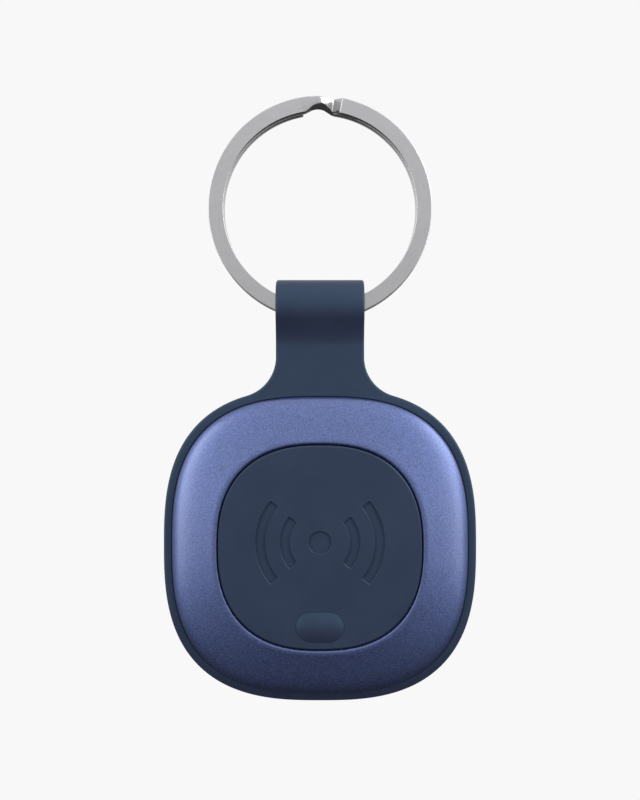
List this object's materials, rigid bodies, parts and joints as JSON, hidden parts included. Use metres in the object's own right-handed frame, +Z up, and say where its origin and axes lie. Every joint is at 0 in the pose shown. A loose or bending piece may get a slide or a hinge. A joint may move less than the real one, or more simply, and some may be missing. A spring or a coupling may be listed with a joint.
{
  "type": "bluetooth tracker tag",
  "caption": "Coin-cell tracker tag: rounded-square lacquered body in a silicone strap sleeve that swings on a split key ring, with a push key and a pull-off battery door.",
  "frame": {"origin": "the hang point, inside the crown of the key ring, on the ring's mid-plane", "axes": "+Z up along the hanging tag, -Y out of the front face with the push key, +X to the viewer's right"},
  "size_m": [0.0388, 0.0095, 0.0758],
  "materials": {
    "polished_steel": "satin-polished spring steel",
    "navy_silicone": "soft matt silicone",
    "blue_aluminium": "fine bead-blasted, blue anodised, satin",
    "blue_lacquer": "fine metallic-flake lacquer, satin",
    "navy_soft_touch": "soft-touch matt",
    "navy_door": "fine matt texture",
    "black_rubber": "matt",
    "black_plastic": "moulded, matt",
    "board": "solder mask, satin",
    "nickel_steel": "nickel plated, satin",
    "cathode": "pressed powder",
    "lithium": "dull soft metal",
    "grey_ceramic": "sintered, matt",
    "white_plastic": "moulded nylon",
    "brass_sheet": "rolled brass",
    "white_ceramic": "silvered ceramic",
    "screw_steel": "zinc plated"
  },
  "bodies": {
    "key_ring": {"key_ring": "polished_steel"},
    "tag": {"strap_sleeve": "navy_silicone", "front_cover": "blue_aluminium", "rear_cover": "blue_lacquer", "center_pad": "navy_soft_touch", "chassis": "black_plastic", "circuit_board": "board", "battery_can": "nickel_steel", "battery_cap": "nickel_steel", "battery_gasket": "black_plastic", "battery_cathode": "cathode", "battery_anode": "lithium", "positive_contact": "nickel_steel", "negative_contact": "nickel_steel", "radio_shield": "nickel_steel", "radio_chip": "black_plastic", "crystal": "nickel_steel", "antenna": "nickel_steel", "supply_capacitor": "grey_ceramic", "filter_capacitor": "grey_ceramic", "matching_inductor": "grey_ceramic", "switch_body": "black_plastic", "switch_frame": "nickel_steel", "piezo_plate": "brass_sheet", "piezo_ceramic": "white_ceramic", "piezo_tape": "white_plastic", "piezo_contact_left": "nickel_steel", "piezo_contact_right": "nickel_steel", "cover_screw_1": "screw_steel", "cover_screw_2": "screw_steel", "cover_screw_3": "screw_steel", "cover_screw_4": "screw_steel"},
    "button": {"button_key": "navy_soft_touch"},
    "door": {"battery_door": "navy_door", "door_seal": "black_rubber"},
    "plunger": {"switch_plunger": "white_plastic"}
  },
  "joints": [
    {"name": "tag_swing", "type": "hinge", "parent": "key_ring", "child": "tag", "pos_m": [0, 0, -0.02448], "axis": [1, 0, 0], "range_deg": [-155, 155]},
    {"name": "button_press", "type": "slide", "parent": "tag", "child": "button", "axis": [0, 1, 0], "range_m": [0, 0.00025], "stiffness_N_per_m": 800},
    {"name": "plunger_press", "type": "slide", "parent": "tag", "child": "plunger", "axis": [0, 1, 0], "range_m": [0, 0.00025]},
    {"name": "door_lift", "type": "slide", "parent": "tag", "child": "door", "axis": [0, 1, 0], "range_m": [0, 0.012]}
  ],
  "couplings": [
    {"joint": "plunger_press", "follows": "button_press", "ratio": 1}
  ]
}
